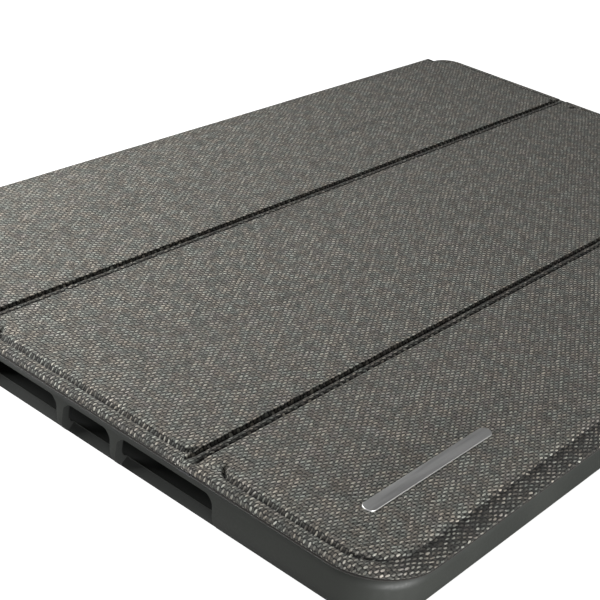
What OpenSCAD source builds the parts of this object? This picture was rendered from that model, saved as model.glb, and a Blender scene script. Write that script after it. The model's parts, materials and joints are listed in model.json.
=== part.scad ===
// Folding tablet case: a moulded tray, and a three-panel fabric flap on a hinged spine.
// X runs from the spine (-) to the free edge of the flap (+), Y along the case, Z up.
// The port end of the tray is at -Y. The case is drawn closed, lying on its back.

/* [Tablet] */
// Length of the tablet that the case holds
tablet_l = 203.2; // [195:0.1:212]
// Width of the tablet
tablet_w = 134.8; // [130:0.1:140]
// Thickness of the tablet
tablet_t = 6.1; // [5.8:0.1:7.5]
// Corner radius of the tablet, seen from the front
tablet_r = 9; // [8:0.5:11]

/* [Tray] */
// Thickness of the side wall
wall_t = 1.5; // [1.2:0.1:2]
// Thickness of the floor
floor_t = 2.2; // [1.8:0.1:2.5]
// Thickness of the lip that holds the tablet in
lip_t = 1.2; // [1:0.1:1.6]
// How far the lip reaches over the front of the tablet
lip_reach = 1.4; // [1:0.1:2]
// Play left round the tablet
fit_play = 0.2; // [0.1:0.05:0.4]
// Radius between the underside and the side wall
underside_r = 4.4; // [4:0.1:5.5]
// Radius at the top of the side wall
shoulder_r = 2.4; // [2:0.1:3]
// Radius between the floor and the wall inside
cavity_r = 2.4; // [2:0.1:3]

/* [Openings] */
// Centre of the charging port, measured from the middle of the tray
port_offset = 3.5; // [0:0.1:9]
// Width of the port opening
port_w = 12; // [10:0.1:13]
// Length of each speaker opening
speaker_w = 22.5; // [16:0.1:24]
// Width of the pillars between the openings
pillar_w = 1.7; // [1.5:0.1:2.5]
// Height of the top edge of the end openings
opening_top = 7.9; // [7:0.1:8]
// Radius of the upper corners of the end openings
opening_r = 2; // [1:0.1:2.5]
// How much wider the end openings are at the bottom, on each side
opening_flare = 0.5; // [0:0.05:0.6]
// Height of the end openings' outer bottom edge, on the tray's rounded underside
opening_low = 0.9; // [0.7:0.1:1.6]
// Radius of the camera hole
camera_r = 5.5; // [4.5:0.1:6.5]
// Distance from the tray's edges to the middle of the camera hole
camera_inset = 14.5; // [14:0.1:18]
// Radius of the headphone hole
jack_r = 2.6; // [2.2:0.1:2.8]

/* [Buttons] */
// Length of each button pad
button_l = 9; // [7:0.5:11]
// Height of each button pad
button_h = 3; // [2.5:0.1:3.4]
// How far the pads stand out of the wall
button_proud = 0.4; // [0.2:0.1:0.6]
// Free space round a pad
button_play = 0.3; // [0.25:0.05:0.4]
// Middle of the volume pair, measured from the middle of the case
volume_y = 58; // [40:1:70]
// Spacing of the two volume pads
volume_pitch = 12.5; // [12:0.5:16]
// Middle of the power pad, measured from the middle of the tray
power_x = 44; // [30:1:48]

/* [Flap] */
// How far the flap stands out past the tray
overhang = 1.2; // [0.8:0.1:2]
// Free height between the tray and the flap
flap_play = 0.3; // [0.2:0.1:0.5]
// Thickness of the woven skin
skin_t = 0.7; // [0.6:0.05:0.8]
// Thickness of the stiffening boards
board_t = 1.3; // [1.2:0.1:1.6]
// Thickness of the lining
lining_t = 0.4; // [0.3:0.05:0.5]
// Distance from the free edge to the nearer fold
free_fold = 42.3; // [38:0.1:46]
// Distance between the two folds
fold_pitch = 56.1; // [50:0.1:60]
// Width of the pressed groove at each fold
groove_w = 2.5; // [2:0.1:3]
// Depth of the groove under the top of the panels
groove_depth = 0.9; // [0.7:0.1:1]
// Corner radius of the flap along its free edge
flap_r = 12; // [10:0.5:14]
// Corner radius of the flap along the spine
flap_spine_r = 6; // [4:0.5:8]

/* [Border] */
// Distance from the flap's ends to its raised panels
end_border = 3; // [2.6:0.1:6]
// Distance from the free edge to its raised panel
side_border = 3.8; // [3.5:0.1:5]
// Width of the flat strip between a fold and the raised panel after it
fold_strip = 4.2; // [3:0.1:5]
// Width of the pressed channel round the raised panels
channel_w = 0.8; // [0.6:0.1:1.5]
// Depth of the channel under the top of the panels
channel_depth = 1; // [0.7:0.1:1.1]
// How much lower the border lies than the raised panels
border_drop = 0.4; // [0.3:0.1:0.6]
// Corner radius of the raised panels beside a fold or the spine
panel_r = 2; // [1.5:0.1:3.5]
// Corner radius of the last raised panel along the free edge
panel_free_r = 8.6; // [6:0.1:9]

/* [Spine] */
// Free space between the spine and the tray's wall
spine_play = 2; // [1.5:0.1:3]
// Thickness of the thin board in the spine
spine_board_t = 0.5; // [0.4:0.1:0.8]
// Distance from each fold axis of the spine to its outer face
spine_fold_r = 1.1; // [1:0.05:1.2]
// Free space between a moving edge and the fold beside it
fold_play = 0.3; // [0.25:0.05:0.4]
// How far the spine stops short of each end of the flap
spine_inset = 6.5; // [5:0.5:9]
// Width of the strip glued under the tray
anchor_w = 23; // [18:1:28]
// Corner radius of that strip
anchor_r = 4; // [2:0.5:6]

/* [Hardware] */
// Number of closing magnets along the free edge
magnet_count = 4; // [2:1:6]
// Length of a closing magnet
magnet_l = 12; // [8:0.5:15]
// Width of a closing magnet
magnet_w = 4; // [3:0.5:5]
// Thickness of the magnets
magnet_t = 0.9; // [0.8:0.1:1]
// Radius of the wake magnet
wake_magnet_r = 4; // [3:0.5:5]
// Length of a catch plate
catch_l = 60; // [40:1:80]
// Width of a catch plate
catch_w = 9; // [6:0.5:12]
// Thickness of the catch plates
catch_t = 0.5; // [0.4:0.1:0.8]
// Distance from the free edge to the middle of the badge
badge_inset = 15; // [12:0.1:20]
// Distance from the port end of the flap to the middle of the badge
badge_y = 29.8; // [25:0.1:60]
// Length of the badge
badge_l = 34.6; // [25:0.1:40]
// Width of the badge
badge_w = 2.6; // [2:0.1:4]
// How far the badge stands above the skin
badge_proud = 0.25; // [0.2:0.05:0.4]
// Depth of the seat that the badge is glued in
badge_seat = 0.15; // [0.1:0.05:0.2]

/* [Hidden] */
$fn = 64;

past = 1; // cutters run this far past the solid that they cut

// Widths and lengths
tray_l = tablet_l + 2 * (fit_play + wall_t);
tray_w = tablet_w + 2 * (fit_play + wall_t);
tray_r = tablet_r + fit_play + wall_t;
flap_l = tray_l + 2 * overhang;
spine_t = skin_t + spine_board_t + lining_t;
case_w = tray_w + overhang + spine_play + spine_t;
free_x = case_w / 2;
spine_x = -free_x;
tray_x = free_x - overhang - tray_w / 2;
spine_l = flap_l - 2 * spine_inset;

// Heights
seat_top = floor_t + tablet_t + fit_play / 2;
tray_h = seat_top + lip_t;
lining_z = tray_h + flap_play;
board_z = lining_z + lining_t;
skin_z = board_z + board_t;
flap_top = skin_z + skin_t;
border_top = flap_top - border_drop;
channel_z = flap_top - channel_depth;
web_top = flap_top - groove_depth;

// Fold lines and panel edges
fold_1_x = free_x - free_fold - fold_pitch;
fold_2_x = free_x - free_fold;
spine_axis_x = spine_x + spine_fold_r;
lower_axis_z = spine_fold_r + 0.1;
upper_axis_z = flap_top - spine_fold_r;
spine_edge_r = spine_fold_r + fold_play;
panel_a_x = [spine_axis_x + spine_edge_r, fold_1_x - groove_w / 2];
panel_b_x = [fold_1_x + groove_w / 2, fold_2_x - groove_w / 2];
panel_c_x = [fold_2_x + groove_w / 2, free_x];
raised_inset = 0.4; // from a raised part to the fold after it
board_margin = 0.5; // from the raised part's edge to the board under it

// Openings in the port end, as their middles from the middle of the case
port_x = tray_x + port_offset;
speaker_step = port_w / 2 + pillar_w + speaker_w / 2;
end_cut_depth = 3;
button_z = tray_h / 2 + 0.8;
camera_flare = 0.8;

body_color = [0.26, 0.26, 0.25];
skin_color = [0.43, 0.41, 0.38];
lining_color = [0.3, 0.3, 0.3];
board_color = [0.75, 0.7, 0.6];
metal_color = [0.75, 0.75, 0.77];

// A flat outline along Y, with its own corner radius at each side. A radius of 0 leaves the corners square.
module outline(x, l, r_low, r_high) {
    translate([x[0] + r_low, -l / 2])
        square([x[1] - r_high - x[0] - r_low, l]);
    translate([x[0], -l / 2 + r_low])
        square([r_low + 0.01, l - 2 * r_low]);
    translate([x[1] - r_high - 0.01, -l / 2 + r_high])
        square([r_high + 0.01, l - 2 * r_high]);
    for (side = [-1, 1]) {
        if (r_low > 0)
            translate([x[0] + r_low, side * (l / 2 - r_low)])
                circle(r_low);
        if (r_high > 0)
            translate([x[1] - r_high, side * (l / 2 - r_high)])
                circle(r_high);
    }
}

module plate(x, l, z, r_low = 0, r_high = 0) {
    translate([0, 0, z[0]])
        linear_extrude(z[1] - z[0])
            outline(x, l, r_low, r_high);
}

module box(x, y, z) {
    translate([x[0], y[0], z[0]])
        cube([x[1] - x[0], y[1] - y[0], z[1] - z[0]]);
}

// A bar along Y whose section is drawn in X and Z
module along_y(l) {
    translate([0, l / 2, 0])
        rotate([90, 0, 0])
            linear_extrude(l)
                children();
}

// ---- Tray ----

// The right half of a slab's section: flat top and bottom, rounded edges, from x = 0 to x = reach
module slab_section(reach, h, r_bottom, r_top) {
    square([reach - max(r_bottom, r_top), h]);
    translate([0, r_bottom])
        square([reach, h - r_bottom - r_top]);
    translate([0, r_bottom])
        square([reach - r_top, h - r_bottom]);
    translate([reach - r_bottom, r_bottom])
        intersection() {
            circle(r_bottom);
            translate([0, -r_bottom])
                square(r_bottom);
        }
    translate([reach - r_top, h - r_top])
        intersection() {
            circle(r_top);
            square(r_top);
        }
}

// A slab with rounded corners in plan whose edge has the section above all the way round
module rounded_slab(w, l, h, r, r_bottom, r_top) {
    for (sx = [-1, 1], sy = [-1, 1])
        translate([sx * (w / 2 - r), sy * (l / 2 - r), 0])
            rotate_extrude()
                slab_section(r, h, r_bottom, r_top);
    for (side = [0, 180]) {
        rotate([0, 0, side])
            translate([w / 2 - r, 0, 0])
                along_y(l - 2 * r)
                    slab_section(r, h, r_bottom, r_top);
        rotate([0, 0, side + 90])
            translate([l / 2 - r, 0, 0])
                along_y(w - 2 * r)
                    slab_section(r, h, r_bottom, r_top);
    }
    translate([0, 0, h / 2])
        cube([w - 2 * r, l - 2 * r, h], center = true);
}

// One opening in the port end: round at its upper corners, wider below, with a sill that rises to the floor inside
module end_opening(x, w) {
    corner_z = opening_top - opening_r;
    low = w / 2 + opening_flare;
    outer_y = -tray_l / 2;
    sill_y = outer_y + underside_r - sqrt(pow(underside_r, 2) - pow(underside_r - opening_low, 2));
    intersection() {
        translate([x, outer_y + end_cut_depth, 0])
            rotate([90, 0, 0])
                linear_extrude(end_cut_depth + past) {
                    polygon([[-low, 0], [low, 0], [w / 2, corner_z], [-w / 2, corner_z]]);
                    translate([opening_r - w / 2, 0])
                        square([w - 2 * opening_r, opening_top]);
                    for (side = [-1, 1])
                        translate([side * (w / 2 - opening_r), corner_z])
                            circle(opening_r);
                }
        translate([x - low, 0, 0])
            rotate([90, 0, 90])
                linear_extrude(2 * low)
                    polygon([
                        [outer_y - past, opening_low],
                        [sill_y, opening_low],
                        [outer_y + end_cut_depth, floor_t],
                        [outer_y + end_cut_depth, opening_top + past],
                        [outer_y - past, opening_top + past]
                    ]);
    }
}

// A button pad's outline, with round ends, centred on the origin
module pad_outline(play) {
    h = button_h + 2 * play;
    l = button_l + 2 * play;
    square([l - h, h], center = true);
    for (side = [-1, 1])
        translate([side * (l - h) / 2, 0])
            circle(h / 2);
}

// A pad or its slot on the free side, from x[0] to x[1]
module side_pad(x, y, play) {
    translate([x[0], y, button_z])
        rotate([90, 0, 90])
            linear_extrude(x[1] - x[0])
                pad_outline(play);
}

// A pad or its slot on the far end, from y[0] to y[1]
module end_pad(y, play) {
    translate([tray_x + power_x, y[1], button_z])
        rotate([90, 0, 0])
            linear_extrude(y[1] - y[0])
                pad_outline(play);
}

module camera_hole() {
    x = tray_x + tray_w / 2 - camera_inset;
    y = tray_l / 2 - camera_inset;
    translate([x, y, -past])
        cylinder(h = floor_t + 2 * past, r = camera_r);
    translate([x, y, -past])
        cylinder(h = camera_flare + past, r1 = camera_r + camera_flare + past, r2 = camera_r);
}

// The glued strip's shape, or with drop the cutter for its recess
module anchor_plate(drop) {
    z = lower_axis_z - spine_fold_r;
    plate([spine_axis_x, spine_axis_x + anchor_w], spine_l, [z - drop, z + skin_t], 0, anchor_r);
}

module tray_shell() {
    side_x = tray_x + tray_w / 2;
    end_y = tray_l / 2;
    color(body_color) difference() {
        translate([tray_x, 0, 0])
            rounded_slab(tray_w, tray_l, tray_h, tray_r, underside_r, shoulder_r);
        // room for the tablet, then the mouth that the lip leaves
        translate([tray_x, 0, floor_t])
            rounded_slab(tray_w - 2 * wall_t, tray_l - 2 * wall_t, seat_top - floor_t,
                tray_r - wall_t, cavity_r, 0.6);
        mouth_w = tray_w - 2 * (wall_t + lip_reach);
        mouth_r = tray_r - wall_t - lip_reach;
        plate([tray_x - mouth_w / 2, tray_x + mouth_w / 2], tray_l - 2 * (wall_t + lip_reach),
            [floor_t + cavity_r, tray_h + past], mouth_r, mouth_r);
        end_opening(port_x, port_w);
        end_opening(port_x - speaker_step, speaker_w);
        end_opening(port_x + speaker_step, speaker_w);
        camera_hole();
        translate([tray_x - power_x, end_y + past, button_z])
            rotate([90, 0, 0])
                cylinder(h = wall_t + 2 * past, r = jack_r);
        for (side = [-1, 1])
            side_pad([side_x - wall_t - past, side_x + past], volume_y + side * volume_pitch / 2, button_play);
        end_pad([end_y - wall_t - past, end_y + past], button_play);
        anchor_plate(past);
    }
}

module volume_button(y) {
    side_x = tray_x + tray_w / 2;
    color(body_color)
        side_pad([side_x - wall_t, side_x + button_proud], y, 0);
}

module volume_up_button() {
    volume_button(volume_y + volume_pitch / 2);
}

module volume_down_button() {
    volume_button(volume_y - volume_pitch / 2);
}

module power_button() {
    color(body_color)
        end_pad([tray_l / 2 - wall_t, tray_l / 2 + button_proud], 0);
}

// The fabric strip glued under the tray, up to the lower fold of the spine
module anchor_strip() {
    color(skin_color)
        anchor_plate(0);
}

// ---- Spine ----

// A rolled fold of fabric about an axis along Y, from one angle to another, counted from +X towards +Z
module rolled_fold(z, from, to) {
    reach = 3 * spine_fold_r;
    translate([spine_axis_x, 0, z])
        along_y(spine_l)
            intersection() {
                difference() {
                    circle(spine_fold_r);
                    circle(spine_fold_r - skin_t);
                }
                polygon([
                    [0, 0],
                    for (a = [from:45:to]) [reach * cos(a), reach * sin(a)]
                ]);
            }
}

module spine_lower_fold() {
    color(skin_color)
        rolled_fold(lower_axis_z, 90, 270);
}

module spine_upper_fold() {
    color(skin_color)
        rolled_fold(upper_axis_z, 45, 180);
}

module spine_skin() {
    color(skin_color)
        box([spine_x, spine_x + skin_t], [-spine_l / 2, spine_l / 2],
            [lower_axis_z + spine_edge_r, upper_axis_z]);
}

module spine_layer(x, t) {
    box([x, x + t], [-spine_l / 2, spine_l / 2],
        [lower_axis_z + spine_edge_r, upper_axis_z - spine_edge_r]);
}

module spine_board() {
    color(board_color)
        spine_layer(spine_x + skin_t, spine_board_t);
}

module spine_lining() {
    color(lining_color)
        spine_layer(spine_x + skin_t + spine_board_t, lining_t);
}

// ---- Flap ----

// The raised part of a panel: x is its reach, and grow moves every edge out or in
// The corner radius at its high side is panel_r, or panel_free_r along the free edge.
module raised(x, z, r_high, grow = 0) {
    plate([x[0] - grow, x[1] + grow], flap_l - 2 * end_border + 2 * grow, z,
        panel_r + grow, r_high + grow);
}

// The woven skin over a panel: a border, the pressed channel and the raised part, hollow over the board
module panel_skin(x, r_low, r_high, raised_x, raised_r) {
    color(skin_color) difference() {
        union() {
            plate(x, flap_l, [board_z, border_top], r_low, r_high);
            raised(raised_x, [board_z, flap_top], raised_r);
        }
        difference() {
            raised(raised_x, [channel_z, flap_top + past], raised_r, channel_w);
            raised(raised_x, [channel_z - past, flap_top + 2 * past], raised_r);
        }
        raised(raised_x, [board_z - past, skin_z], raised_r, -board_margin);
    }
}

module panel_board(raised_x, raised_r) {
    color(board_color) difference() {
        raised(raised_x, [board_z, skin_z], raised_r, -board_margin);
        children();
    }
}

module panel_lining(x, r_low, r_high) {
    color(lining_color)
        plate(x, flap_l, [lining_z, board_z], r_low, r_high);
}

// The pressed web in the groove after a panel. It stops short of the next panel, which swings up past it.
module fold_web(axis_x) {
    color(skin_color)
        box([axis_x - groove_w / 2, axis_x + groove_w / 2 - fold_play], [-flap_l / 2, flap_l / 2],
            [web_top - skin_t, web_top]);
}

raised_a_x = [panel_a_x[0] + side_border, panel_a_x[1] - raised_inset];
raised_b_x = [panel_b_x[0] + fold_strip, panel_b_x[1] - raised_inset];
raised_c_x = [panel_c_x[0] + fold_strip, panel_c_x[1] - side_border];

module panel_a_skin() {
    panel_skin(panel_a_x, flap_spine_r, 0, raised_a_x, panel_r);
}

module panel_b_skin() {
    panel_skin(panel_b_x, 0, 0, raised_b_x, panel_r);
}

module panel_c_skin() {
    difference() {
        panel_skin(panel_c_x, 0, flap_r, raised_c_x, panel_free_r);
        badge_bar([flap_top - badge_seat, flap_top + past]);
    }
}

module panel_a_board() {
    panel_board(raised_a_x, panel_r)
        catch_plate_pair();
}

module panel_b_board() {
    panel_board(raised_b_x, panel_r);
}

module panel_c_board() {
    panel_board(raised_c_x, panel_free_r) {
        magnet_row();
        wake_disc();
    }
}

module panel_a_lining() {
    panel_lining(panel_a_x, flap_spine_r, 0);
}

module panel_b_lining() {
    panel_lining(panel_b_x, 0, 0);
}

module panel_c_lining() {
    panel_lining(panel_c_x, 0, flap_r);
}

module fold_1_web() {
    fold_web(fold_1_x);
}

module fold_2_web() {
    fold_web(fold_2_x);
}

// ---- Hardware in the flap ----

// Steel plates let into the first board, which the magnets catch when the flap is folded to a stand
module catch_plate_pair() {
    x = raised_a_x[0] + 4;
    for (side = [-1, 1])
        box([x, x + catch_w], [side * flap_l / 4 - catch_l / 2, side * flap_l / 4 + catch_l / 2],
            [board_z, board_z + catch_t]);
}

module magnet_row() {
    x = raised_c_x[1] - 2 - magnet_w;
    pitch = (flap_l - 2 * end_border) / magnet_count;
    for (i = [0:magnet_count - 1]) {
        y = (i - (magnet_count - 1) / 2) * pitch;
        box([x, x + magnet_w], [y - magnet_l / 2, y + magnet_l / 2], [board_z, board_z + magnet_t]);
    }
}

module wake_disc() {
    translate([raised_c_x[0] + 10, flap_l / 4, board_z])
        cylinder(h = magnet_t, r = wake_magnet_r);
}

module catch_plates() {
    color(metal_color)
        catch_plate_pair();
}

module closing_magnets() {
    color(metal_color)
        magnet_row();
}

module wake_magnet() {
    color(metal_color)
        wake_disc();
}

// A plain bar with round ends, along Y near the port end of the free panel
module badge_bar(z) {
    x = free_x - badge_inset;
    y = -flap_l / 2 + badge_y;
    translate([x, y, z[0]])
        linear_extrude(z[1] - z[0]) {
            square([badge_w, badge_l - badge_w], center = true);
            for (side = [-1, 1])
                translate([0, side * (badge_l - badge_w) / 2])
                    circle(badge_w / 2);
        }
}

module badge() {
    color(metal_color)
        badge_bar([flap_top - badge_seat, flap_top + badge_proud]);
}

tray_shell();
volume_up_button();
volume_down_button();
power_button();
anchor_strip();
spine_lower_fold();
spine_skin();
spine_board();
spine_lining();
spine_upper_fold();
panel_a_skin();
panel_a_board();
panel_a_lining();
catch_plates();
fold_1_web();
panel_b_skin();
panel_b_board();
panel_b_lining();
fold_2_web();
panel_c_skin();
panel_c_board();
panel_c_lining();
closing_magnets();
wake_magnet();
badge();
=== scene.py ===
import json
import math

import bmesh
import bpy
import numpy as np
from mathutils import Matrix, Vector


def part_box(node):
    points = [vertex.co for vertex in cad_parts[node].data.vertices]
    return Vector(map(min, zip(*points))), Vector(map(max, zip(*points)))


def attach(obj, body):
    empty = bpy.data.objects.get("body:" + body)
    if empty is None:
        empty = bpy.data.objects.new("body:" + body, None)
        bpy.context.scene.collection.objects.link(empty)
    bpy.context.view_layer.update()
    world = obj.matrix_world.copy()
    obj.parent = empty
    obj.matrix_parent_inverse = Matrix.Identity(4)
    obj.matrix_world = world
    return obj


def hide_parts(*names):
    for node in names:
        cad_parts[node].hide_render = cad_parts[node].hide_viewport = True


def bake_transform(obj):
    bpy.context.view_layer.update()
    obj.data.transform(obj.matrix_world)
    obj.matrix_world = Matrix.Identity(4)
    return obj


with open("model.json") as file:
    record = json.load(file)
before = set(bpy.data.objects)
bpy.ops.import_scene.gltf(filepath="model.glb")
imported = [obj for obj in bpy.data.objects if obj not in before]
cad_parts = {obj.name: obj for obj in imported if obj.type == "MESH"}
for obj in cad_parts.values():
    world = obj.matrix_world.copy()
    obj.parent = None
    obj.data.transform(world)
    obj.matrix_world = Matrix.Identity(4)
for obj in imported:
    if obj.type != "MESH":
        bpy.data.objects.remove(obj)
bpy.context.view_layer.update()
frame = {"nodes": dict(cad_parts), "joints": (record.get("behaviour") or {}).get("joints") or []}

# Lengths in this file are millimetres, and turn to metres where a mesh, light or camera is made.
MM = 0.001

# ---- Places read from the frame ----


def box_mm(node):
    """The lowest and highest corners of a CAD node, in millimetres."""
    low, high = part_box(node)
    return np.array(low) / MM, np.array(high) / MM


def span(node, axis):
    low, high = box_mm(node)
    return low[axis], high[axis]


X, Y, Z = 0, 1, 2
PANELS = "abc"
PANEL_X = {p: span(f"panel_{p}_skin", X) for p in PANELS}
HALF = span("panel_c_skin", Y)[1]  # half of the flap's length
SKIN_LOW, FLAP_TOP = span("panel_b_skin", Z)
LINING_LOW, LINING_HIGH = span("panel_b_lining", Z)
BOARD_TOP = span("panel_b_board", Z)[1]
JOINTS = {j["name"]: j for j in frame["joints"]}
AXIS = {name: np.array(j["pos_m"]) / MM for name, j in JOINTS.items() if j.get("pos_m")}
FOLD_X = [AXIS["fold_1"][X], AXIS["fold_2"][X]]
BOARD_MARGIN = 0.5  # the boards stop this far inside the raised parts
RAISED_X = {p: (span(f"panel_{p}_board", X)[0] - BOARD_MARGIN, span(f"panel_{p}_board", X)[1] + BOARD_MARGIN)
            for p in PANELS}
RAISED_HALF = span("panel_b_board", Y)[1] + BOARD_MARGIN

# Corner radii in plan, at low X and at high X, as in the CAD model
FLAP_R = {"a": (6, 0.25), "b": (0.25, 0.25), "c": (0.25, 12)}
RAISED_R = {"a": (2, 2), "b": (2, 2), "c": (2, 8.6)}

# Heights and widths of the pressed relief
BEAD_W = 0.9          # from the flap's edge to the crest of the bead
BEAD_Z = FLAP_TOP - 0.35
BEAD_SIDE_Z = BEAD_Z - 0.85
CHANNEL_Z = FLAP_TOP - 1.05
CHANNEL_E = 0.3       # from a raised part to the bottom of the channel round it
STRIP_Z = FLAP_TOP - 0.06
FREE_DROP = 0.45      # how far the border slopes down along the free edge, which has no bead
CREASE_W = 0.95       # from a fold line to the creases beside it
CREASE_Z = FLAP_TOP - 1.0
WEB_CROWN = 0.55      # how far the web stands above its creases
DEEP_BORDER = 5.6     # the channel is deep within this distance of the flap's short edges
DEEP_FADE = 2.6       # and turns shallow over this much more
GAP = 0.02            # between two layers, so that their faces don't fall together
RIM_SHADE = 0.5     # how dark the painted shade on the skin's rim and underside is
FREE_BORDER = 12      # how far the sloping border reaches in from the free edge


def smooth(t):
    t = np.clip(t, 0, 1)
    return t * t * (3 - 2 * t)


def mix(a, b, t):
    return a + (b - a) * t


# ---- Outlines and heights of the flap ----


def inside(x, y, x_span, half, r_low, r_high):
    """How far points lie inside a plate with rounded corners, and below 0 outside it."""
    middle = (x_span[0] + x_span[1]) / 2
    r = np.where(x > middle, r_high, r_low)
    dx = np.abs(x - middle) - (x_span[1] - x_span[0]) / 2 + r
    dy = np.abs(y) - half + r
    return r - np.hypot(np.maximum(dx, 0), np.maximum(dy, 0)) - np.minimum(np.maximum(dx, dy), 0)


def ripple(x, y):
    """Slow unevenness of the glued cloth, from -1 to 1."""
    return (np.sin(x / 3.7 + 1.3 * np.sin(y / 9.1)) * np.sin(y / 5.3 + 0.8) * 0.5
            + np.sin(x / 7.9 - y / 12.7 + 0.4) * 0.5)


def edge_height(d):
    """The bead along the flap's edge, by the distance from the edge."""
    t = np.clip((BEAD_W - d) / BEAD_W, 0, 1)
    return BEAD_SIDE_Z + (BEAD_Z - BEAD_SIDE_Z) * np.sqrt(1 - t * t)


def spine_side(x, y):
    """1 where the flap runs on into the spine and so has no bead, 0 elsewhere."""
    return smooth((PANEL_X["a"][0] + 7 - x) / 3) * smooth((HALF - 7 - np.abs(y)) / 4)


def border_places(panel, x, y):
    """For points of one panel: the distances from the flap's edge and from the panel's raised part, and how
    deep the channel is, from 0 to 1."""
    d = inside(x, y, (PANEL_X["a"][0], PANEL_X["c"][1]), HALF, FLAP_R["a"][0], FLAP_R["c"][1])
    d = mix(d, BEAD_W + 1, spine_side(x, y))
    e = -inside(x, y, RAISED_X[panel], RAISED_HALF, *RAISED_R[panel]) + 0.05 * ripple(x * 2, y)
    deep = smooth((DEEP_BORDER - (HALF - np.abs(y))) / DEEP_FADE)
    if panel == "c":
        deep = np.maximum(deep, smooth((x - sum(RAISED_X[panel]) / 2) / 4))
    return d, e, deep


def free_side(x, y):
    """1 along the free edge, 0 elsewhere."""
    return smooth((x - (PANEL_X["c"][1] - FREE_BORDER)) / 5) * smooth((HALF - 0.5 - np.abs(y)) / 7)


def flap_height(panel, x, y):
    """The height of the pressed flap's top at points of one panel."""
    d, e, deep = border_places(panel, x, y)
    border = mix(STRIP_Z, edge_height(d), smooth((3.4 - d) / 1.2))
    bottom = mix(STRIP_Z, CHANNEL_Z, deep)
    outer = mix(bottom, border, smooth((e - CHANNEL_E) / 0.85))
    rounding = mix(-0.04, -0.1, deep) * (1 - smooth((-e - 0.1) / 1.2))
    crown = FLAP_TOP + rounding + 0.03 * ripple(x, y) * smooth((-e - 0.4) / 2)
    z = np.where(e > CHANNEL_E, outer, mix(bottom, crown, smooth((CHANNEL_E - e) / mix(1.0, 0.6, deep))))
    ends = groove_ends(y)
    for fold_x in FOLD_X:
        groove = smooth(1 - (np.abs(x - fold_x) - CREASE_W) / 0.45)
        z = mix(z, CREASE_Z, groove * ends) - 0.12 * groove * (1 - ends)
    slope = (FLAP_TOP - 0.1 - 0.5 * smooth((e + 0.2) / 0.55) - FREE_DROP * smooth((e - 0.2) / 3)
             - 0.6 * (BEAD_Z - edge_height(d)))
    return mix(z, slope, free_side(x, y) * smooth((e + 0.4) / 0.4))


def groove_ends(y):
    """1 along a fold's groove, falling to 0 where it runs out into the bead at both ends."""
    return smooth((HALF - np.abs(y) - 0.9) / 2.2)


def flap_pressed(panel, x, y):
    """Painted shade on the cloth's top, from 0 to 1: darkest in the channels, on the walls of the folds'
    grooves, along the flap's rim and on the free edge's sloping shoulder.
    """
    d, e, deep = border_places(panel, x, y)
    # painted shade in the deep channels, on the free edge's shoulder, which slopes away from the light, and
    # along the rim
    channel = np.exp(-((e - CHANNEL_E + 0.05) / 0.45) ** 2) * deep * deep
    shoulder = free_side(x, y) * smooth((e + 0.5) / 0.8) * mix(1.0, 0.8, smooth(e / 3))
    rim = 0.6 * smooth(1.2 - d / 1.4)
    pressed = np.maximum(np.maximum(channel, shoulder), rim)
    for fold_x in FOLD_X:
        # painted shade on the grooves' walls, wider on the high-X side
        wall = smooth(1 - (np.abs(x - fold_x) - CREASE_W) / np.where(x > fold_x, 0.75, 0.3))
        pressed = np.maximum(pressed, wall * groove_ends(y))
    return np.clip(pressed * (0.92 + 0.08 * ripple(x * 3, y * 3)), 0, 1)


def web_height(fold_x, x, y):
    """The height of the pressed web between two panels."""
    across = (x - fold_x) / CREASE_W
    z = CREASE_Z + WEB_CROWN * (1 - across * across)
    at_end = edge_height(HALF - np.abs(y)) - 0.14 - 0.05 * across * across
    return mix(at_end, z + 0.02 * ripple(3 * x, y), groove_ends(y))


def web_pressed(fold_x, x, y):
    """Painted shade on the web, from 0 to 1: darkest in the creases on both sides of it."""
    across = (x - fold_x) / CREASE_W
    return mix(0.6, 0.95, smooth((np.abs(across + 0.05) - 0.3) / 0.35)) * groove_ends(y)


# ---- Solids made of rings ----


def outline(x_span, half, r_low, r_high, counts):
    """Points round a plate with rounded corners, the same number for any plate with the same counts."""
    n_side, n_end, n_corner = counts
    x0, x1 = x_span
    r0, r1 = max(r_low, 0.01), max(r_high, 0.01)
    parts = []

    def line(a, b, n):
        t = np.arange(n)[:, None] / n
        parts.append(np.array(a) + (np.array(b) - np.array(a)) * t)

    def arc(cx, cy, r, start):
        t = math.radians(start) + np.arange(n_corner) / n_corner * math.pi / 2
        parts.append(np.stack([cx + r * np.cos(t), cy + r * np.sin(t)], 1))

    line((x1, -half + r1), (x1, half - r1), n_side)
    arc(x1 - r1, half - r1, r1, 0)
    line((x1 - r1, half), (x0 + r0, half), n_end)
    arc(x0 + r0, half - r0, r0, 90)
    line((x0, half - r0), (x0, -half + r0), n_side)
    arc(x0 + r0, -half + r0, r0, 180)
    line((x0 + r0, -half), (x1 - r1, -half), n_end)
    arc(x1 - r1, -half + r1, r1, 270)
    return np.concatenate(parts)


def inset(plate, by):
    """A plate's own numbers, drawn in by a distance."""
    x_span, half, r_low, r_high = plate
    return (x_span[0] + by, x_span[1] - by), half - by, max(r_low - by, 0), max(r_high - by, 0)


def ring(points, z):
    return np.concatenate([points, np.broadcast_to(np.reshape(z, (-1, 1)), (len(points), 1))], 1)


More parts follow.
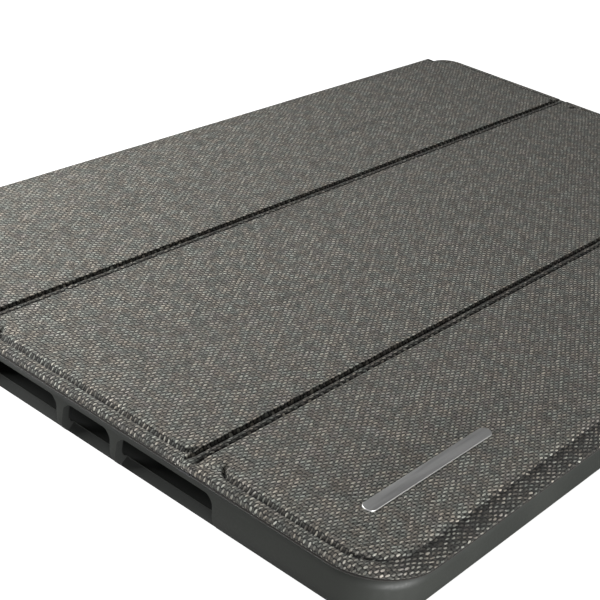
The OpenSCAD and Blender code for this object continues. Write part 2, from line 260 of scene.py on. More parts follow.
def new_object(name, vertices_mm, faces, cloth=None, marks=None):
    """A smooth mesh. cloth holds the cloth's own coordinates, and marks has one number a point, by name."""
    mesh = bpy.data.meshes.new(name)
    mesh.from_pydata((np.asarray(vertices_mm) * MM).tolist(), [], faces)
    mesh.update()
    if cloth is not None:
        attribute = mesh.attributes.new("cloth", "FLOAT_VECTOR", "POINT")
        attribute.data.foreach_set("vector", np.asarray(cloth, np.float32).ravel())
    for key, values in (marks or {}).items():
        attribute = mesh.attributes.new(key, "FLOAT", "POINT")
        attribute.data.foreach_set("value", np.asarray(values, np.float32).ravel())
    bm = bmesh.new()
    bm.from_mesh(mesh)
    bmesh.ops.recalc_face_normals(bm, faces=bm.faces)
    for face in bm.faces:
        face.smooth = True
    bm.to_mesh(mesh)
    bm.free()
    obj = bpy.data.objects.new(name, mesh)
    bpy.context.scene.collection.objects.link(obj)
    return obj


def ring_faces(rings, count):
    """Faces between rings of count points each, with both ends closed."""
    faces = [tuple(range(count)), tuple(range((rings - 1) * count, rings * count))]
    for r in range(rings - 1):
        a, b = r * count, (r + 1) * count
        for k in range(count):
            n = (k + 1) % count
            faces.append((a + k, a + n, b + n, b + k))
    return faces


def ring_solid(name, rings, out=None, marks=None):
    """A closed solid through rings that run from the middle of one face round the edge to the other's middle.
    The cloth's own coordinates run outwards from the last ring along the surface, in the directions out."""
    count = len(rings[0])
    if out is None:
        out = np.zeros((count, 2))
    cloth, extra = [None] * len(rings), np.zeros(count)
    for r in range(len(rings) - 1, -1, -1):
        if r < len(rings) - 1:
            step = rings[r] - rings[r + 1]
            across = np.linalg.norm(step[:, :2], axis=1)
            onward = np.where((step[:, :2] * out).sum(1) < -1e-6, -1, 1)
            extra = extra + np.linalg.norm(step, axis=1) - across * onward
        cloth[r] = np.concatenate([rings[r][:, :2] + out * extra[:, None], np.zeros((count, 1))], 1)
    marks = {key: np.concatenate(values) for key, values in (marks or {}).items()}
    faces = ring_faces(len(rings), count)
    return new_object(name, np.concatenate(rings), faces, np.concatenate(cloth), marks)


def outward(points):
    """The direction away from a plate's middle, square to its outline."""
    along = np.roll(points, -1, 0) - np.roll(points, 1, 0)
    out = np.stack([along[:, 1], -along[:, 0]], 1)
    return out / np.maximum(np.linalg.norm(out, axis=1, keepdims=True), 1e-9)


def core_of(points, half):
    """A thin ring down the middle of a plate."""
    middle = (points[:, 0].min() + points[:, 0].max()) / 2
    low = points[:, 0].min()
    reach = half - (middle - low) * 0.8
    core = points.copy()
    core[:, 0] = middle + np.clip(points[:, 0] - middle, -1, 1) * 0.4
    core[:, 1] = points[:, 1] * reach / half
    return core


# Points along a plate's sides, ends and corners
SKIN_COUNTS = (210, 44, 16)
LINING_COUNTS = (210, 44, 12)
WEB_COUNTS = (210, 14, 2)
SPINE_END_COUNTS = (26, 6, 5)


def rim_rings(plate, counts, low, top, tuck):
    """The rings up a plate's rim, which is tucked in at its foot."""
    rings = []
    for t in np.linspace(0, 0.85, 6):
        lowered = outline(*inset(plate, tuck * (1 - t) ** 2.5), counts)
        rings.append(ring(lowered, mix(low + 0.05, top, t)))
    return rings


def panel_skin(panel):
    """One panel's woven skin, in the relief that it's pressed in."""
    counts = SKIN_COUNTS
    domain = list(PANEL_X[panel])
    if panel != "a":
        domain[0] = FOLD_X[PANELS.index(panel) - 1] + CREASE_W
    if panel != "c":
        domain[1] = FOLD_X[PANELS.index(panel)] - CREASE_W
    plate = (tuple(domain), HALF, *FLAP_R[panel])
    raised = (RAISED_X[panel], RAISED_HALF, *RAISED_R[panel])
    edge = outline(*plate, counts)
    shoulder = outline(*raised, counts)
    out = outward(outline(*inset(plate, 0.2), counts))
    height = lambda points: flap_height(panel, points[:, 0], points[:, 1])
    # painted shade at points of the top
    press = lambda points: flap_pressed(panel, points[:, 0], points[:, 1])
    # the underside, hollow over the board
    board = outline(*inset(raised, BOARD_MARGIN), counts)
    brim = mix(board, outline(*inset(plate, 0.6), counts), 0.6)
    rings = [ring(core_of(board, RAISED_HALF), BOARD_TOP + GAP), ring(board, BOARD_TOP + GAP),
             ring(board, SKIN_LOW + GAP), ring(brim, SKIN_LOW + GAP)]
    rings += rim_rings(plate, counts, SKIN_LOW, height(edge), 0.42)
    # an even painted shade on the underside and rim
    pressed = [np.full(len(edge), RIM_SHADE)] * len(rings)
    # the border, from the edge to the raised part
    bead_share = BEAD_W / (HALF - RAISED_HALF)
    shares = [bead_share * (1 - math.cos(a)) for a in np.linspace(0, math.pi / 2, 9)]
    shares += list(np.linspace(bead_share, 1, 22)[1:])
    tops = [mix(edge, shoulder, share) for share in shares]
    # the raised part's rounded shoulder and its crown
    tops += [outline(*inset(raised, by), counts) for by in (0.08, 0.16, 0.25, 0.35, 0.5, 0.7, 1.0, 1.4, 2.0)]
    inner = tops[-1]
    core = core_of(inner, RAISED_HALF)
    tops += [mix(inner, core, t) for t in np.linspace(0, 1, 11)[1:]]
    rings += [ring(points, height(points)) for points in tops]
    pressed += [press(points) for points in tops]
    skin = ring_solid(f"woven_skin_{panel}", rings, out, {"pressed": pressed})
    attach(skin, f"panel_{panel}")
    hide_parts(f"panel_{panel}_skin")
    return skin


def fold_web(index):
    """The pressed strip of skin in a fold. It reaches a little way into the panels' skins on both sides."""
    counts = WEB_COUNTS
    fold_x = FOLD_X[index]
    reach = CREASE_W + 0.3
    plate = ((fold_x - reach, fold_x + reach), HALF, 0.02, 0.02)
    edge = outline(*plate, counts)
    out = np.zeros_like(edge)
    out[:, 1] = np.sign(edge[:, 1]) * (np.abs(edge[:, 1]) > HALF - 0.1)
    height = lambda points: web_height(fold_x, points[:, 0], points[:, 1])
    rings = [ring(core_of(edge, HALF), LINING_HIGH + GAP)]
    rings += rim_rings(plate, counts, LINING_HIGH, height(edge), 0.4)
    middle = edge.copy()
    middle[:, 0] = fold_x + (edge[:, 0] - fold_x) * 0.02
    middle[:, 1] = np.clip(edge[:, 1], -HALF + 4.6, HALF - 4.6)
    # painted shade: none on the underside and rim, and the creases on the top darkened
    pressed = [np.zeros(len(edge))] * len(rings)
    for share in [1 - math.cos(a) for a in np.linspace(0, math.pi / 2, 18)]:
        points = mix(edge, middle, share)
        rings.append(ring(points, height(points)))
        pressed.append(web_pressed(fold_x, points[:, 0], points[:, 1]))
    web = ring_solid(f"fold_{index + 1}_skin", rings, out, {"pressed": pressed})
    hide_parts(f"fold_{index + 1}_web")
    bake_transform(web)
    return web


def lining_height(panel, x, y):
    """The lining's lower face: the boards press it down a little, and its edge is rounded."""
    e = -inside(x, y, RAISED_X[panel], RAISED_HALF, *RAISED_R[panel])
    return LINING_LOW + 0.1 * smooth((e + 0.6) / 1.4) + 0.02 * ripple(x * 1.3, y * 1.3)


def panel_lining(panel):
    """One panel's lining, with a cut edge."""
    counts = LINING_COUNTS
    x_low, x_high = PANEL_X[panel]
    edge_inset = 0.1
    plate = ((x_low + (edge_inset if panel == "a" else 0), x_high - (edge_inset if panel == "c" else 0)),
             HALF - edge_inset, *(max(r - edge_inset, 0.05) for r in FLAP_R[panel]))
    raised = (RAISED_X[panel], RAISED_HALF, *RAISED_R[panel])
    edge = outline(*plate, counts)
    shoulder = outline(*raised, counts)
    height = lambda points: lining_height(panel, points[:, 0], points[:, 1])
    rings = [ring(core_of(edge, HALF), LINING_HIGH), ring(outline(*inset(plate, 0.05), counts), LINING_HIGH)]
    rings.append(ring(edge, LINING_HIGH - 0.06))
    for share in (0, 0.02, 0.06, 0.12, 0.25, 0.4, 0.55, 0.7, 0.85, 1):
        points = mix(edge, shoulder, share)
        rings.append(ring(points, height(points) + 0.14 * (1 - smooth(share / 0.12))))
    for by in (0.3, 0.6, 1.0):
        points = outline(*inset(raised, by), counts)
        rings.append(ring(points, height(points)))
    inner = outline(*inset(raised, 1.0), counts)
    core = core_of(inner, RAISED_HALF)
    for t in np.linspace(0, 1, 11)[1:]:
        points = mix(inner, core, t)
        rings.append(ring(points, height(points)))
    cut = [np.full(len(edge), float(r in (1, 2, 3))) for r in range(len(rings))]
    lining = ring_solid(f"lining_{panel}", rings, marks={"cut_edge": cut})
    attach(lining, f"panel_{panel}")
    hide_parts(f"panel_{panel}_lining")
    return lining


def arc_points(x, z, r, start, end, n):
    """Points of an arc, from one angle to another, in degrees."""
    a = np.radians(np.linspace(start, end, n))
    return np.stack([x + r * np.cos(a), z + r * np.sin(a)], 1)


def along(line):
    """The distance from a line's first point to each point."""
    return np.concatenate([[0], np.cumsum(np.linalg.norm(np.diff(line, axis=0), axis=1))])


def even(line, n):
    """The same line with n points, evenly spaced."""
    line = np.asarray(line, float)
    s = along(line)
    t = np.linspace(0, s[-1], n)
    return np.stack([np.interp(t, s, line[:, 0]), np.interp(t, s, line[:, 1])], 1)


STRIP_SECTIONS = 119


def cloth_strip(name, line, thick, half, cloth_end, relief=None):
    """A strip of cloth along Y. A line in X and Z is its outer face, and the cloth lies on the line's right,
    with rounded edges. The cloth's own X is cloth_end at the line's last point, and falls back along it."""
    s = along(line)
    tangent = np.gradient(line, axis=0)
    tangent /= np.linalg.norm(tangent, axis=1, keepdims=True)
    normal = np.stack([-tangent[:, 1], tangent[:, 0]], 1)
    from_edge = np.minimum(s, s[-1] - s)
    roll = 1 - np.sqrt(1 - np.clip(1 - from_edge / (0.6 * thick), 0, 1) ** 2)
    sunk = np.zeros(len(s)) if relief is None else relief(s)
    # sections along Y: a few round each end, and even ones between
    round_end = np.sin(np.radians(np.linspace(8, 90, 6)))
    ends = half - 0.6 * thick * (1 - round_end)
    between = np.linspace(-ends[-1], ends[-1], STRIP_SECTIONS + 2)[1:-1]
    ys = np.concatenate([-ends, between, ends[::-1]])
    keep = np.concatenate([round_end, np.ones(STRIP_SECTIONS), round_end[::-1]])
    n = len(line)
    vertices, cloth = [], []
    for y, k in zip(ys, keep):
        wave = 0.03 * ripple(line[:, 0] * 2 + line[:, 1] * 3, np.full(n, y))
        drop = thick * (1 - (1 - 0.7 * roll) * (0.3 + 0.7 * k)) + (sunk - wave) * k
        outer = line - normal * drop[:, None]
        inner = line - normal * thick
        for x, z in (*outer, *inner[::-1]):
            vertices.append((x, y, z))
        own = cloth_end - (s[-1] - s)
        cloth += [(u, y, 0) for u in (*own, *own[::-1])]
    loop = 2 * n
    faces = []
    for r in range(len(ys) - 1):
        for k in range(loop):
            m = (k + 1) % loop
            faces.append((r * loop + k, r * loop + m, (r + 1) * loop + m, (r + 1) * loop + k))
    for first in (0, (len(ys) - 1) * loop):
        last = first + loop - 1
        faces += [(first + k, first + k + 1, last - 1 - k, last - k) for k in range(n - 1)]
    # where the relief sinks the cloth, it is also darkened as painted shade
    pressed = None
    if relief is not None:
        deep = np.clip(sunk / 0.2, 0, 1)
        pressed = {"pressed": np.tile(np.concatenate([deep, deep[::-1]]), len(ys))}
    return new_object(name, vertices, faces, cloth, pressed)


SPINE_HALF = span("spine_skin", Y)[1]
SPINE_X, SPINE_IN = span("spine_skin", X)[0], span("spine_lining", X)[1]
SKIN_T = 0.6  # the woven cloth's thickness
STRIP_X = span("anchor_strip", X)[1]
STRIP_LOW = span("anchor_strip", Z)[0]


def spine_cloth():
    """The woven cloth from under the tray, round the spine and up to the first panel, in two pieces."""
    low, high = AXIS["spine_opening"], AXIS["cover_opening"]
    r = low[X] - SPINE_X
    bottom = even([(STRIP_X, STRIP_LOW), (low[X], STRIP_LOW)], 40)
    turn = arc_points(low[X], low[Z], r, 270, 180, 22)[1:]
    rise = even([(SPINE_X, low[Z]), (SPINE_X + 0.02, low[Z] + 1.4), (SPINE_X + 0.16, low[Z] + 2.2)], 14)[1:]
    line = np.concatenate([bottom, turn, rise])
    lower = cloth_strip("spine_cloth_lower", line, SKIN_T, SPINE_HALF, SPINE_X)
    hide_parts("anchor_strip", "spine_lower_fold")
    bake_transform(lower)

    crest = FLAP_TOP - 0.32
    bend = crest - high[Z] + 0.5
    start = low[Z] + 1.75
    side = even([(SPINE_X + 0.1, start), (SPINE_X, start + 0.5), (SPINE_X, high[Z] - 0.5)], 46)
    over = arc_points(SPINE_X + bend, high[Z] - 0.5, bend, 180, 90, 24)[1:]
    panel_low = PANEL_X["a"][0]
    flat = even([over[-1], (panel_low + 0.5, crest - 0.04), (panel_low + 1.1, crest - 0.3)], 16)[1:]
    line = np.concatenate([side, over, flat])
    # two lines sunk into the cloth, which are also darkened there as painted shade
    pressed_lines = (0.75, high[Z] - 1.3 - start)
    relief = lambda s: sum(0.2 * np.exp(-((s - at) / 0.3) ** 2) for at in pressed_lines)
    upper = cloth_strip("spine_cloth_upper", line, SKIN_T, SPINE_HALF, panel_low + 1.1, relief)
    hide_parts("spine_skin", "spine_upper_fold")
    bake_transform(upper)
    return lower, upper


def spine_lining():
    """The lining from the first panel down the inside of the spine and on under the tray, in two pieces."""
    low = AXIS["spine_opening"]
    panel_low = PANEL_X["a"][0]
    thick, thin = 0.3, 0.13
    inner = SPINE_IN
    corner = 1.0
    top = LINING_LOW + 0.05
    over = even([(panel_low + 0.7, top + 0.12), (panel_low + 0.3, top), (inner + corner, top)], 12)[:-1]
    bend = arc_points(inner + corner, top - corner, corner, 90, 180, 16)
    side = even([(inner, top - corner), (inner, low[Z] + 2.2), (inner - 0.1, low[Z] + 1.7)], 34)[1:]
    line = np.concatenate([over, bend, side])
    upper = cloth_strip("spine_lining_upper", line, thick, SPINE_HALF, 0)
    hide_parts("spine_lining")
    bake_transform(upper)
    ground = span("anchor_strip", Z)[1] + 0.05
    foot = inner - 0.02
    side = even([(inner - 0.12, low[Z] + 2.4), (foot, low[Z] + 1.8), (foot, ground + 1.1)], 12)[:-1]
    bend = arc_points(inner + 0.9, ground + 1.05, 0.92, 180, 270, 16)
    under = even([bend[-1], (inner + 2.4, ground + 0.13)], 10)[1:]
    line = np.concatenate([side, bend, under])
    lower = cloth_strip("spine_lining_lower", line, thin, SPINE_HALF, 0)
    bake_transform(lower)
    return upper, lower


def spine_end(side):
    """The turned-in cloth that closes one end of the spine, over the board's end."""
    counts = SPINE_END_COUNTS
    board_low, board_high = span("spine_board", Z)
    half = (board_high - board_low) / 2 + 0.15
    middle = (board_low + board_high) / 2
    plate = ((SPINE_X + 0.12, SPINE_IN - 0.05), half, 0.3, 0.3)
    vertices, cloth = [], []
    # how far each ring is beyond the spine's end, and how far it's drawn in
    profile = ((-0.9, 0.1), (-0.5, 0), (-0.15, 0), (0, 0.06), (0.09, 0.2), (0.13, 0.42))
    for y, by in profile:
        for x, up in outline(*inset(plate, by), counts):
            vertices.append((x, side * (SPINE_HALF + y), middle + up))
            cloth.append((x, middle + up + y, 0))
    count = len(outline(*plate, counts))
    name = "spine_end_" + ("far" if side > 0 else "near")
    end = new_object(name, vertices, ring_faces(len(profile), count), cloth)
    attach(end, "spine")
    return end


def fold_lining(index):
    """The lining's own strip in a fold."""
    fold_x = FOLD_X[index]
    low, high = PANELS[index], PANELS[index + 1]
    reach_low, reach_high = fold_x - PANEL_X[low][1] + 0.5, PANEL_X[high][0] - fold_x + 0.5
    z = LINING_LOW + 0.1
    line = even([(fold_x + reach_high, z + 0.08), (fold_x + reach_high - 0.5, z), (fold_x, z + 0.06),
                 (fold_x - reach_low + 0.5, z), (fold_x - reach_low, z + 0.08)], 30)
    strip = cloth_strip(f"fold_{index + 1}_lining", line, LINING_HIGH - z, HALF - 0.12, 0)
    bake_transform(strip)
    return strip


def softened(node, name, body, width):
    """A moulded part's own shape, with its sharp edges rounded as a mould leaves them."""
    mesh = frame["nodes"][node].data.copy()
    mesh.name = name
    bm = bmesh.new()
    bm.from_mesh(mesh)
    bmesh.ops.remove_doubles(bm, verts=bm.verts, dist=0.001 * MM)
    bmesh.ops.dissolve_limit(bm, angle_limit=math.radians(0.5), verts=bm.verts, edges=bm.edges)
    for face in bm.faces:
        face.smooth = True
    bm.to_mesh(mesh)
    bm.free()
    part = bpy.data.objects.new(name, mesh)
    bpy.context.scene.collection.objects.link(part)
    bevel = part.modifiers.new("rounded_edges", "BEVEL")
    bevel.width, bevel.segments, bevel.limit_method = width * MM, 3, "ANGLE"
    bevel.angle_limit = math.radians(32)
    bevel.harden_normals = True
    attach(part, body)
    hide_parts(node)
    return part


BODY_LIP = span("tray_shell", Z)[1] - 1.3  # the lip's underside, above the tablet's room
FLOOR_T = 2.3  # the thickness of the tray's floor
SILL = 1.0     # the openings' sills start above this height
WALL_IN = 0.6  # faces nearer to the tray's outside than this are on its outside


def mark_inside(tray):
    """The cavity and the openings' cut faces take the tray's second material, which is duller, and darker as
    painted shade in these recesses.
    """
    low, high = box_mm("tray_shell")
    middle = (low + high) / 2
    for face in tray.data.polygons:
        centre, normal = np.array(face.center) / MM, np.array(face.normal)
        on_sill = normal[Z] > 0.3 and centre[Z] < FLOOR_T
        outer = (normal[:2] * (centre - middle)[:2] / (high - low)[:2]).sum() > 0.3 and not on_sill
        within = (low[:2] + WALL_IN < centre[:2]).all() and (centre[:2] < high[:2] - WALL_IN).all()
        if within and not outer and low[Z] + SILL < centre[Z] < BODY_LIP:
            face.material_index = 1


# ---- Materials ----


class Nodes:
    """A short way to write a material's nodes."""

    def __init__(self, name, color):
        self.material = bpy.data.materials.new(name)
        self.material.use_nodes = True
        self.material.diffuse_color = (*color, 1)
        self.tree = self.material.node_tree
        self.shader = self.tree.nodes["Principled BSDF"]

    def put(self, socket, value):
        if isinstance(value, bpy.types.NodeSocket):
            self.tree.links.new(value, socket)
        else:
            socket.default_value = value

    def node(self, kind, inputs=(), output=0, **settings):
        made = self.tree.nodes.new(kind)
        for key, value in settings.items():
            setattr(made, key, value)
        for socket, value in (inputs.items() if isinstance(inputs, dict) else enumerate(inputs)):
            self.put(made.inputs[socket], value)
        return made.outputs[output]

    def math(self, operation, *values, clamp=False):
        return self.node("ShaderNodeMath", values, operation=operation, use_clamp=clamp)

    def smooth(self, value, low, high, to_low=0.0, to_high=1.0):
        made = self.tree.nodes.new("ShaderNodeMapRange")
        made.interpolation_type = "SMOOTHSTEP"
        for socket, v in zip(made.inputs, (value, low, high, to_low, to_high)):
            self.put(socket, v)
        return made.outputs[0]

    def mix_color(self, factor, a, b, blend="MIX"):
        made = self.tree.nodes.new("ShaderNodeMix")
        made.data_type, made.blend_type = "RGBA", blend
        self.put(made.inputs["Factor"], factor)
        colors = [s for s in made.inputs if s.type == "RGBA"]
        self.put(colors[0], a)
        self.put(colors[1], b)
        return [s for s in made.outputs if s.type == "RGBA"][0]

    def mix_value(self, factor, a, b):
        made = self.tree.nodes.new("ShaderNodeMix")
        for socket, v in zip((made.inputs[0], made.inputs[2], made.inputs[3]), (factor, a, b)):
            self.put(socket, v)
        return made.outputs[0]

    def noise(self, vector, scale, detail=2.0, roughness=0.5, output=0):
        return self.node("ShaderNodeTexNoise", {"Vector": vector, "Scale": scale, "Detail": detail,
                                                "Roughness": roughness}, output=output)

    def combine(self, x=0.0, y=0.0, z=0.0):
        return self.node("ShaderNodeCombineXYZ", (x, y, z))

    def scale(self, vector, by):
        return self.node("ShaderNodeVectorMath", (vector, by), operation="MULTIPLY")

    def add(self, vector, other):
        return self.node("ShaderNodeVectorMath", (vector, other), operation="ADD")

    def bump(self, height, distance, strength=1.0):
        return self.node("ShaderNodeBump", {"Strength": strength, "Distance": distance, "Height": height})

    def object_place(self):
        """The object's own coordinates, in metres."""
        return self.node("ShaderNodeTexCoord", output=3)


def grey(value):
    return (value, value, value, 1)


WARP_PITCH, WEFT_PITCH = 0.5, 0.875  # spacing of the threads along X and along Y
COLUMN_X, COLUMN_Y = 0.868, 0.496    # the direction across the columns of lighter and darker floats
THREAD_RELIEF = 0.00018              # metres


def woven_material():
    """A plain weave of light warp and dark weft, laid out by the cloth's own coordinates in millimetres."""
    n = Nodes("woven_cloth", (0.16, 0.15, 0.135))
    cloth = n.node("ShaderNodeAttribute", output=1, attribute_name="cloth", attribute_type="GEOMETRY")
    # painted shade from the mesh, from 0 to 1
    pressed = n.node("ShaderNodeAttribute", output=2, attribute_name="pressed", attribute_type="GEOMETRY")
    # threads wander a little, slowly along the cloth and quickly from one float to the next
    slow = n.scale(n.add(n.noise(cloth, 0.35, 2.0, output=1), (-0.5, -0.5, -0.5)), (0.7, 0.8, 0))
    quick = n.scale(n.add(n.noise(cloth, 1.7, 1.0, output=1), (-0.5, -0.5, -0.5)), (0.22, 0.4, 0))
    place = n.add(n.add(cloth, slow), quick)
    place_x = n.node("ShaderNodeSeparateXYZ", (place,), output=0)
    place_y = n.node("ShaderNodeSeparateXYZ", (place,), output=1)
    px = n.math("DIVIDE", place_x, WARP_PITCH)
    py = n.math("DIVIDE", place_y, WEFT_PITCH)
    i, j = n.math("FLOOR", px), n.math("FLOOR", py)
    fx = n.math("SUBTRACT", n.math("SUBTRACT", px, i), 0.5)
    fy = n.math("SUBTRACT", n.math("SUBTRACT", py, j), 0.5)
    odd = n.math("MODULO", n.math("ABSOLUTE", n.math("ADD", i, j)), 2.0)
    even = n.math("SUBTRACT", 1.0, odd)
    cell = n.combine(i, j)
    chance = n.node("ShaderNodeTexWhiteNoise", {"Vector": cell}, output=0, noise_dimensions="2D")
    other_cell = n.add(cell, (37.0, 11.0, 0))
    chance_2 = n.node("ShaderNodeTexWhiteNoise", {"Vector": other_cell}, noise_dimensions="2D")
    # the light floats lean a little, each by its own amount
    lean = n.mix_value(chance_2, 0.0, 0.5)
    fx_leant = n.math("SUBTRACT", fx, n.math("MULTIPLY", fy, lean))

    def float_shape(a, wide_a, b, wide_b):
        qa = n.math("POWER", n.math("ABSOLUTE", n.math("DIVIDE", a, wide_a)), 2.0)
        qb = n.math("POWER", n.math("ABSOLUTE", n.math("DIVIDE", b, wide_b)), 2.6)
        return n.math("SUBTRACT", 1.0, n.math("ADD", qa, qb), clamp=True)

    warp = n.math("MULTIPLY", float_shape(fx_leant, 0.52, fy, 0.66), even)
    weft = n.math("MULTIPLY", float_shape(fy, 0.46, fx, 0.64), odd)
    # columns of floats that run aslant over the cloth come out lighter or darker
    aslant = n.math("ADD", n.math("MULTIPLY", place_x, COLUMN_X), n.math("MULTIPLY", place_y, COLUMN_Y))
    onward = n.math("SUBTRACT", n.math("MULTIPLY", place_y, COLUMN_X), n.math("MULTIPLY", place_x, COLUMN_Y))
    column = n.noise(n.combine(n.math("MULTIPLY", aslant, 1.25), n.math("MULTIPLY", onward, 0.22)), 1.0, 1.0)
    # colours: light warp floats of uneven strength over a dark weft, with loose fibres through both; between
    # the threads and in dark flecks among the fibres lies near black painted shade
    strength = n.mix_value(chance, 0.5, 1.05)
    strength = n.math("MULTIPLY", strength, n.smooth(column, 0.32, 0.68, 0.55, 1.2))
    fibre = n.noise(n.scale(cloth, (9.0, 2.4, 1)), 1.0, 2.0, 0.6)
    light = n.mix_color(chance_2, (0.66, 0.63, 0.57, 1), (0.57, 0.56, 0.52, 1))
    dark = n.mix_color(chance, (0.200, 0.193, 0.176, 1), (0.115, 0.112, 0.103, 1))
    # near black painted shade between the threads
    thread_gap_shade = (0.009, 0.0087, 0.008, 1)
    body = n.mix_color(n.smooth(weft, 0.1, 0.75), thread_gap_shade, dark)
    amount = n.math("MULTIPLY", n.smooth(warp, 0.1, 0.85), strength, clamp=True)
    color = n.mix_color(amount, body, light)
    color = n.mix_color(n.smooth(fibre, 0.54, 0.76, 0.0, 0.6), color, (0.33, 0.31, 0.28, 1))
    color = n.mix_color(n.smooth(fibre, 0.44, 0.22, 0.0, 0.7), color, thread_gap_shade)
    # melange: warm, green and rosy fibres in faint patches some millimetres wide
    warm_patch = n.smooth(n.noise(cloth, 0.33, 3.0, 0.6), 0.36, 0.64)
    warm = n.mix_color(warm_patch, (0.45, 0.53, 0.50, 1), (0.57, 0.50, 0.42, 1))
    rosy_patch = n.smooth(n.noise(n.add(cloth, (50.0, 20.0, 0)), 0.25, 3.0, 0.6), 0.5, 0.75)
    tint = n.mix_color(rosy_patch, warm, (0.54, 0.49, 0.50, 1))
    color = n.mix_color(0.5, color, tint, blend="OVERLAY")
    # painted shade: folds, channels, rim and the free edge's slope are darkened nearly to black, less on the
    # crowns of the threads, which so seem to catch light there
    shade_depth = n.math("SUBTRACT", 0.99, n.math("MULTIPLY", n.math("POWER", amount, 1.6), 0.85))
    color = n.mix_color(n.math("MULTIPLY", pressed, shade_depth), color, (0.01, 0.0096, 0.009, 1))
    n.put(n.shader.inputs["Base Color"], color)
    weft_height = n.math("MULTIPLY", n.math("POWER", weft, 0.5), 0.75)
    height = n.math("ADD", n.math("POWER", warp, 0.5), weft_height)
    height = n.math("ADD", height, n.math("MULTIPLY", fibre, 0.35))
    n.put(n.shader.inputs["Normal"], n.bump(height, THREAD_RELIEF))
    n.put(n.shader.inputs["Roughness"], n.mix_value(warp, 0.72, 0.48))
    n.shader.inputs["Specular IOR Level"].default_value = 0.3
    n.shader.inputs["Sheen Weight"].default_value = 0.12
    n.shader.inputs["Sheen Roughness"].default_value = 0.5
    return n.material


def tpu_material(name, dark, light, roughness, gloss):
    """Moulded rubber with a fine, even grain."""
    n = Nodes(name, light)
    place = n.object_place()
    cloudy = n.noise(place, 60.0, 3.0)
    cloudy = n.smooth(cloudy, 0.3, 0.7)
    n.put(n.shader.inputs["Base Color"], n.mix_color(cloudy, (*dark, 1), (*light, 1)))
    grain = n.noise(place, 2600.0, 2.0, 0.6)
    n.put(n.shader.inputs["Roughness"], n.smooth(grain, 0.3, 0.7, roughness, roughness + 0.1))
    n.put(n.shader.inputs["Normal"], n.bump(grain, 0.00001, 0.6))
    n.shader.inputs["Specular IOR Level"].default_value = gloss
    return n.material


def lining_material():
    """Microfibre, brushed along Y, with a darker cut edge."""
    n = Nodes("microfibre", (0.09, 0.09, 0.092))
    place = n.object_place()
    nap = n.noise(place, 1500.0, 3.0, 0.7)
    brushed = n.noise(n.scale(place, (1.0, 0.45, 1.0)), 90.0, 3.0, 0.6)
    color = n.mix_color(n.smooth(brushed, 0.3, 0.72), (0.062, 0.063, 0.066, 1), (0.088, 0.089, 0.093, 1))
    color = n.mix_color(n.smooth(nap, 0.35, 0.8), color, (0.115, 0.116, 0.12, 1))
    cut = n.node("ShaderNodeAttribute", output=2, attribute_name="cut_edge", attribute_type="GEOMETRY")
    cut = n.math("MULTIPLY", cut, n.smooth(nap, 0.2, 0.6, 0.6, 1.0))
    color = n.mix_color(cut, color, (0.045, 0.042, 0.038, 1))
    n.put(n.shader.inputs["Base Color"], color)
    n.put(n.shader.inputs["Roughness"], n.smooth(nap, 0.2, 0.8, 0.8, 0.95))
    n.put(n.shader.inputs["Normal"], n.bump(nap, 0.00005, 0.8))
    n.shader.inputs["Specular IOR Level"].default_value = 0.2
    n.shader.inputs["Sheen Weight"].default_value = 0.35
    n.shader.inputs["Sheen Roughness"].default_value = 0.4
    return n.material


def metal_material(name, color, stretch, roughness):
    """Metal with fine brushed lines, or an even grain where stretch is the same along all axes."""
    n = Nodes(name, color)
    place = n.object_place()
    lines = n.noise(n.scale(place, stretch), 900.0, 3.0, 0.6)
    duller = tuple(c * 0.88 for c in color)
    n.put(n.shader.inputs["Base Color"], n.mix_color(n.smooth(lines, 0.3, 0.7), (*duller, 1), (*color, 1)))
    n.shader.inputs["Metallic"].default_value = 1.0
    n.put(n.shader.inputs["Roughness"], n.smooth(lines, 0.2, 0.8, roughness - 0.06, roughness + 0.08))
    n.put(n.shader.inputs["Normal"], n.bump(lines, 0.000004, 0.5))
    return n.material


def board_material():
    n = Nodes("glass_fibre_board", (0.32, 0.3, 0.26))
    place = n.object_place()
    flecks = n.noise(n.scale(place, (1.0, 0.3, 1.0)), 700.0, 3.0, 0.6)
    color = n.mix_color(n.smooth(flecks, 0.35, 0.7), (0.27, 0.25, 0.21, 1), (0.37, 0.35, 0.30, 1))
    n.put(n.shader.inputs["Base Color"], color)
    n.put(n.shader.inputs["Roughness"], n.smooth(flecks, 0.2, 0.8, 0.5, 0.65))
    n.put(n.shader.inputs["Normal"], n.bump(flecks, 0.00002, 0.5))
    return n.material


def give(obj, material):
    obj.data.materials.clear()
    obj.data.materials.append(material)


# ---- Floor, light and camera ----


def make_floor():
    mesh = bpy.data.meshes.new("floor")
    half = 6.0
    corners = [(-half, -half, 0), (half, -half, 0), (half, half, 0), (-half, half, 0)]
    mesh.from_pydata(corners, [], [(0, 1, 2, 3)])
    floor = bpy.data.objects.new("floor", mesh)
    bpy.context.scene.collection.objects.link(floor)
    # white to the eye, and greyer to the object, as a white table is under a far lamp
    n = Nodes("floor_paper", (0.9, 0.9, 0.9))
    seen = n.node("ShaderNodeLightPath", output=0)
    n.put(n.shader.inputs["Base Color"], n.mix_color(seen, grey(0.3), grey(0.55)))
    n.shader.inputs["Emission Color"].default_value = grey(1.0)
    n.put(n.shader.inputs["Emission Strength"], n.math("MULTIPLY", seen, 0.95))
    n.shader.inputs["Roughness"].default_value = 0.9
    n.shader.inputs["Specular IOR Level"].default_value = 0.1
    give(floor, n.material)


def make_light(name, place, target, size, power):
    """A white rectangular lamp. Places and sizes are metres, and the power is watts."""
    data = bpy.data.lights.new(name, "AREA")
    data.shape, data.size, data.size_y = "RECTANGLE", size[0], size[1]
    data.energy = power
    light = bpy.data.objects.new(name, data)
    light.location = place
    light.rotation_euler = (Vector(target) - Vector(place)).to_track_quat("-Z", "Y").to_euler()
    bpy.context.scene.collection.objects.link(light)


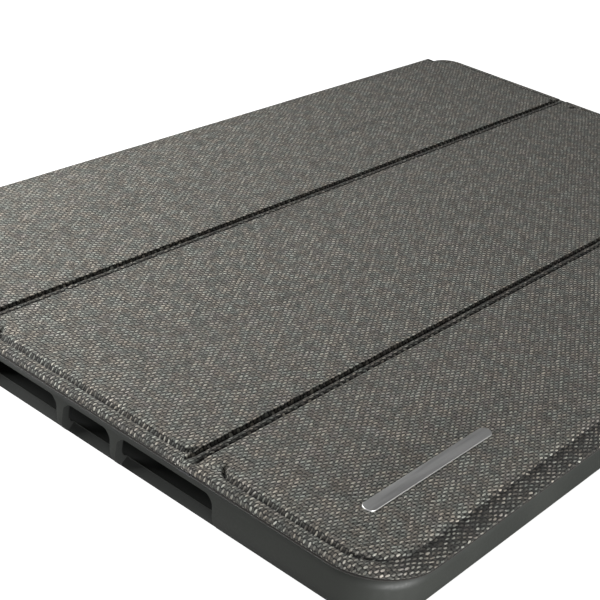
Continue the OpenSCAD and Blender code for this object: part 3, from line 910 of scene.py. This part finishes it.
def make_lights():
    world = bpy.data.worlds.new("studio")
    bpy.context.scene.world = world
    world.use_nodes = True
    background = world.node_tree.nodes["Background"]
    background.inputs["Color"].default_value = grey(1.0)
    background.inputs["Strength"].default_value = 0.12
    make_light("window", (-0.19, -0.17, 0.145), (-0.02, -0.03, 0), (0.18, 0.18), 1.04)
    make_light("side_fill", (0.5, -0.16, 0.022), (0, 0, 0.005), (0.4, 0.03), 3.0)


CAMERA_PLACE = (154.28, -242.9, 143.72)
CAMERA_TURN = 37.46  # degrees from +Y towards -X
CAMERA_DIP = 28.18   # degrees below level
CAMERA_ROLL = 7.23
CAMERA_LENS = 84.7


def make_camera():
    azimuth, elevation, roll = (math.radians(a) for a in (CAMERA_TURN, CAMERA_DIP, CAMERA_ROLL))
    ahead = math.cos(elevation)
    look = Vector((-math.sin(azimuth) * ahead, math.cos(azimuth) * ahead, -math.sin(elevation)))
    level = Vector((math.cos(azimuth), math.sin(azimuth), 0))
    above = level.cross(look)
    right = math.cos(roll) * level + math.sin(roll) * above
    up = -math.sin(roll) * level + math.cos(roll) * above
    data = bpy.data.cameras.new("camera")
    data.sensor_width = 36
    data.lens = CAMERA_LENS
    data.clip_start = 0.01
    camera = bpy.data.objects.new("camera", data)
    turn = Matrix((right, up, -look)).transposed().to_4x4()
    camera.matrix_world = Matrix.Translation(Vector(CAMERA_PLACE) * MM) @ turn
    bpy.context.scene.collection.objects.link(camera)
    bpy.context.scene.camera = camera


# ---- Everything put together ----

WOVEN = woven_material()
TPU = tpu_material("soft_tpu", (0.039, 0.042, 0.038), (0.049, 0.052, 0.047), 0.44, 0.4)
# the same rubber, duller, and darker as painted shade in the cavity and openings
TPU_SHADED_INSIDE = tpu_material("soft_tpu_shaded_inside", (0.030, 0.032, 0.030), (0.040, 0.042, 0.040), 0.7, 0.15)
LINING = lining_material()
BOARD = board_material()
STEEL = metal_material("cold_rolled_steel", (0.55, 0.55, 0.56), (1.0, 0.05, 1.0), 0.35)
NICKEL = metal_material("nickel_plate", (0.62, 0.61, 0.58), (1.0, 1.0, 1.0), 0.22)
SATIN = metal_material("satin_metal", (0.86, 0.86, 0.85), (1.0, 0.06, 1.0), 0.46)

skins = {panel: panel_skin(panel) for panel in PANELS}
linings = {panel: panel_lining(panel) for panel in PANELS}
webs = [fold_web(index) for index in range(len(FOLD_X))]
fold_linings = [fold_lining(index) for index in range(len(FOLD_X))]
spine_skins = spine_cloth()
spine_linings = spine_lining()
spine_ends = [spine_end(side) for side in (-1, 1)]
for obj in (*skins.values(), *webs, *spine_skins, *spine_ends):
    give(obj, WOVEN)
for obj in (*linings.values(), *fold_linings, *spine_linings):
    give(obj, LINING)

tray = softened("tray_shell", "tray_moulding", "tray", 0.3)
give(tray, TPU)
tray.data.materials.append(TPU_SHADED_INSIDE)
mark_inside(tray)
for button in ("volume_up", "volume_down", "power"):
    give(softened(f"{button}_button", f"{button}_pad", button, 0.35), TPU)
give(softened("badge", "plain_badge", "panel_c", 0.15), SATIN)

# the CAD model's own nodes take the same materials
for name, obj in frame["nodes"].items():
    if "board" in name:
        give(obj, BOARD)
    elif name == "catch_plates":
        give(obj, STEEL)
    elif "magnet" in name:
        give(obj, NICKEL)
    elif name == "badge":
        give(obj, SATIN)
    elif "lining" in name:
        give(obj, LINING)
    elif name == "tray_shell" or "button" in name:
        give(obj, TPU)
    else:
        give(obj, WOVEN)

make_floor()
make_lights()
make_camera()
bpy.context.scene.view_settings.view_transform = "Standard"
